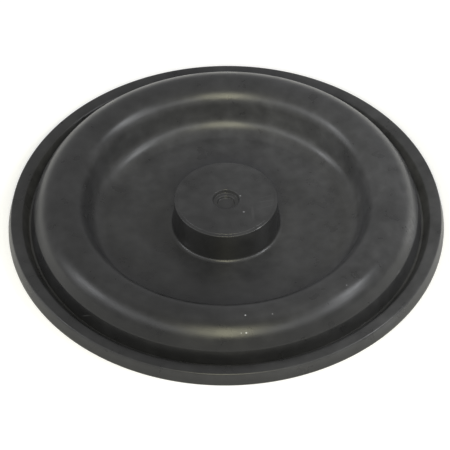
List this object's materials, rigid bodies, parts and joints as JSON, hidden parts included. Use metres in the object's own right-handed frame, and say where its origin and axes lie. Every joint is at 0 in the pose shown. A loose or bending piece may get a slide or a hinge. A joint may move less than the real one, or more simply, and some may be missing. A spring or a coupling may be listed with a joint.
{
  "type": "diaphragm",
  "caption": "Round moulded rubber diaphragm with a flat clamping rim, a groove inside it, a rolled convolution, a flat web and a solid central boss.",
  "frame": {"origin": "middle of the underside, in the plane that the rim and the flat web rest on", "axes": "+Z along the axis of revolution, from the underside towards the boss; X and Y are free, because the part is round"},
  "size_m": [0.1648, 0.1648, 0.0181],
  "materials": {
    "rubber": "moulded, satin black"
  },
  "bodies": {
    "root": {"diaphragm": "rubber"}
  },
  "joints": []
}
